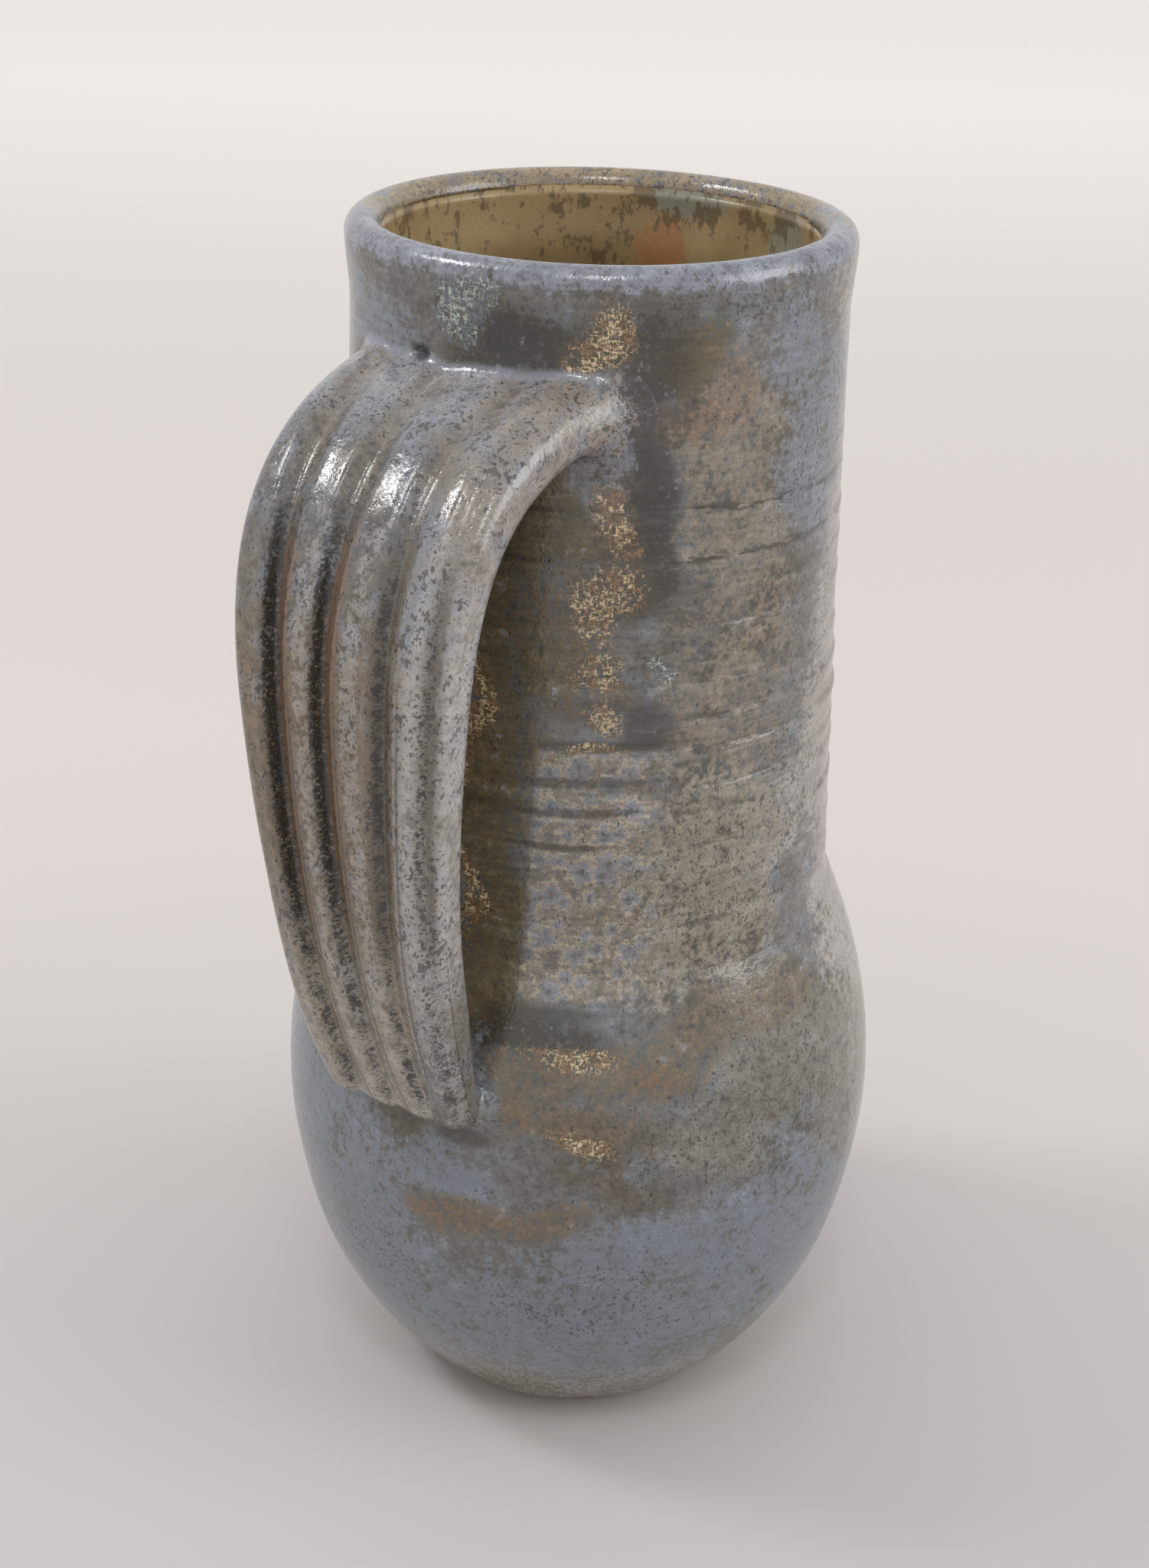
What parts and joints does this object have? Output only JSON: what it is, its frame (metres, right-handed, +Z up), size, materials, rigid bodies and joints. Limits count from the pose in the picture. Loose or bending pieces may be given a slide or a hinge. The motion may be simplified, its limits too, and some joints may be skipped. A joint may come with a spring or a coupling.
{
  "type": "stoneware pitcher",
  "caption": "Thrown stoneware pitcher with a round belly, tall straight neck, plain rounded rim and a wide fluted strap handle, glazed inside and out, for holding and pouring drinks.",
  "frame": {"origin": "centre of the flat base, on the surface that the pitcher stands on", "axes": "+Z up along the vessel's axis, handle towards -X, pouring side towards +X"},
  "size_m": [0.1305, 0.1104, 0.22],
  "materials": {
    "bare_clay": "bare fired stoneware, matt brown",
    "outer_glaze": "glossy blue-grey lustre glaze with rust and olive breaks and dark speckles",
    "handle_glaze": "the same glaze, paler on the ribs and dark in the grooves",
    "liner_glaze": "glossy khaki glaze with brown mottling below the rim"
  },
  "bodies": {
    "root": {"thrown_body": "bare_clay", "handle_strap": "bare_clay", "upper_luting": "outer_glaze", "lower_luting": "outer_glaze", "outer_glaze": "outer_glaze", "handle_glaze": "handle_glaze", "liner_glaze": "liner_glaze"}
  },
  "joints": []
}
